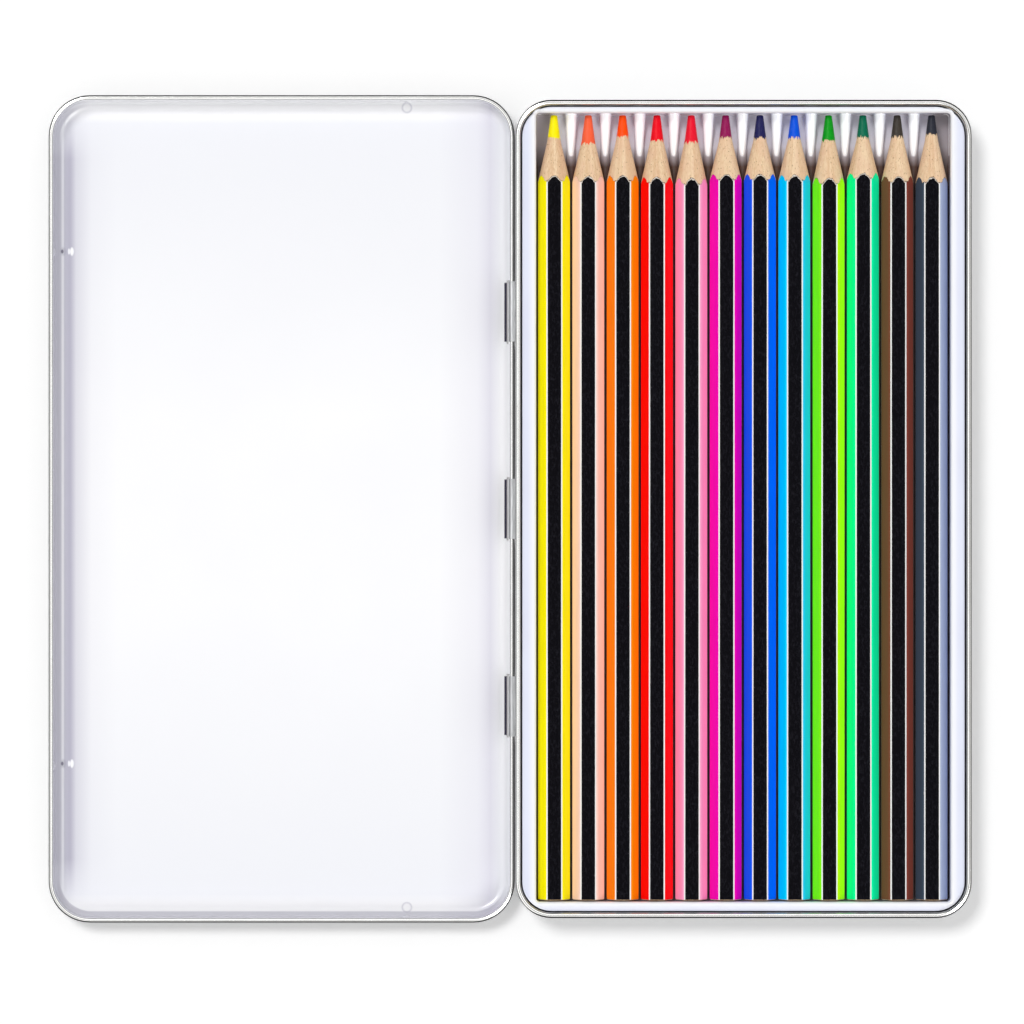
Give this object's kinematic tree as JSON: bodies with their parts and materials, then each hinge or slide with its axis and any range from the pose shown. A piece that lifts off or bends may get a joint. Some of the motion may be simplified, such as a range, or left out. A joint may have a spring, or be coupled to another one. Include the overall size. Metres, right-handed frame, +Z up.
{
  "type": "colored pencil tin",
  "caption": "Flat hinged tin, open, with a moulded tray of sharpened hexagonal coloured pencils; the lid turns on curled tabs and tray and pencils lift out.",
  "frame": {"origin": "centre of the base's underside, on the surface that the tin stands on", "axes": "+X across the width, with the hinge and the open lid on the -X side; +Y along the pencils, towards their points; +Z up"},
  "size_m": [0.2055, 0.1844, 0.0096],
  "materials": {
    "tinplate": "bright tinplate with a thin clear lacquer",
    "lid_lacquer": "glossy white lacquer on tinplate",
    "tray_plastic": "glossy vacuum-formed sheet",
    "paint_yellow": "gloss paint with black faces and white pinstripes on cedar-coloured wood",
    "lead_yellow": "waxy pigment lead",
    "paint_peach": "gloss paint with black faces and white pinstripes on cedar-coloured wood",
    "lead_peach": "waxy pigment lead",
    "paint_orange": "gloss paint with black faces and white pinstripes on cedar-coloured wood",
    "lead_orange": "waxy pigment lead",
    "paint_red": "gloss paint with black faces and white pinstripes on cedar-coloured wood",
    "lead_red": "waxy pigment lead",
    "paint_pink": "gloss paint with black faces and white pinstripes on cedar-coloured wood",
    "lead_pink": "waxy pigment lead",
    "paint_magenta": "gloss paint with black faces and white pinstripes on cedar-coloured wood",
    "lead_magenta": "waxy pigment lead",
    "paint_blue": "gloss paint with black faces and white pinstripes on cedar-coloured wood",
    "lead_blue": "waxy pigment lead",
    "paint_sky": "gloss paint with black faces and white pinstripes on cedar-coloured wood",
    "lead_sky": "waxy pigment lead",
    "paint_lime": "gloss paint with black faces and white pinstripes on cedar-coloured wood",
    "lead_lime": "waxy pigment lead",
    "paint_spring_green": "gloss paint with black faces and white pinstripes on cedar-coloured wood",
    "lead_spring_green": "waxy pigment lead",
    "paint_brown": "gloss paint with black faces and white pinstripes on cedar-coloured wood",
    "lead_brown": "waxy pigment lead",
    "paint_slate": "gloss paint with black faces and white pinstripes on cedar-coloured wood",
    "lead_slate": "waxy pigment lead"
  },
  "bodies": {
    "base": {"base_pan": "tinplate"},
    "lid": {"lid_pan": "lid_lacquer"},
    "tray": {"pencil_tray": "tray_plastic"},
    "pencil_yellow": {"pencil_yellow_casing": "paint_yellow", "pencil_yellow_lead": "lead_yellow"},
    "pencil_peach": {"pencil_peach_casing": "paint_peach", "pencil_peach_lead": "lead_peach"},
    "pencil_orange": {"pencil_orange_casing": "paint_orange", "pencil_orange_lead": "lead_orange"},
    "pencil_red": {"pencil_red_casing": "paint_red", "pencil_red_lead": "lead_red"},
    "pencil_pink": {"pencil_pink_casing": "paint_pink", "pencil_pink_lead": "lead_pink"},
    "pencil_magenta": {"pencil_magenta_casing": "paint_magenta", "pencil_magenta_lead": "lead_magenta"},
    "pencil_blue": {"pencil_blue_casing": "paint_blue", "pencil_blue_lead": "lead_blue"},
    "pencil_sky": {"pencil_sky_casing": "paint_sky", "pencil_sky_lead": "lead_sky"},
    "pencil_lime": {"pencil_lime_casing": "paint_lime", "pencil_lime_lead": "lead_lime"},
    "pencil_spring_green": {"pencil_spring_green_casing": "paint_spring_green", "pencil_spring_green_lead": "lead_spring_green"},
    "pencil_brown": {"pencil_brown_casing": "paint_brown", "pencil_brown_lead": "lead_brown"},
    "pencil_slate": {"pencil_slate_casing": "paint_slate", "pencil_slate_lead": "lead_slate"}
  },
  "joints": [
    {"name": "lid_hinge", "type": "hinge", "parent": "base", "child": "lid", "pos_m": [-0.05142, 0, 0.00575], "axis": [0, 1, 0], "range_deg": [0, 180]},
    {"name": "tray_lift", "type": "slide", "parent": "base", "child": "tray", "axis": [0, 0, 1], "range_m": [0, 0.02]},
    {"name": "pencil_yellow_lift", "type": "slide", "parent": "tray", "child": "pencil_yellow", "axis": [0, 0, 1], "range_m": [0, 0.02]},
    {"name": "pencil_peach_lift", "type": "slide", "parent": "tray", "child": "pencil_peach", "axis": [0, 0, 1], "range_m": [0, 0.02]},
    {"name": "pencil_orange_lift", "type": "slide", "parent": "tray", "child": "pencil_orange", "axis": [0, 0, 1], "range_m": [0, 0.02]},
    {"name": "pencil_red_lift", "type": "slide", "parent": "tray", "child": "pencil_red", "axis": [0, 0, 1], "range_m": [0, 0.02]},
    {"name": "pencil_pink_lift", "type": "slide", "parent": "tray", "child": "pencil_pink", "axis": [0, 0, 1], "range_m": [0, 0.02]},
    {"name": "pencil_magenta_lift", "type": "slide", "parent": "tray", "child": "pencil_magenta", "axis": [0, 0, 1], "range_m": [0, 0.02]},
    {"name": "pencil_blue_lift", "type": "slide", "parent": "tray", "child": "pencil_blue", "axis": [0, 0, 1], "range_m": [0, 0.02]},
    {"name": "pencil_sky_lift", "type": "slide", "parent": "tray", "child": "pencil_sky", "axis": [0, 0, 1], "range_m": [0, 0.02]},
    {"name": "pencil_lime_lift", "type": "slide", "parent": "tray", "child": "pencil_lime", "axis": [0, 0, 1], "range_m": [0, 0.02]},
    {"name": "pencil_spring_green_lift", "type": "slide", "parent": "tray", "child": "pencil_spring_green", "axis": [0, 0, 1], "range_m": [0, 0.02]},
    {"name": "pencil_brown_lift", "type": "slide", "parent": "tray", "child": "pencil_brown", "axis": [0, 0, 1], "range_m": [0, 0.02]},
    {"name": "pencil_slate_lift", "type": "slide", "parent": "tray", "child": "pencil_slate", "axis": [0, 0, 1], "range_m": [0, 0.02]}
  ]
}
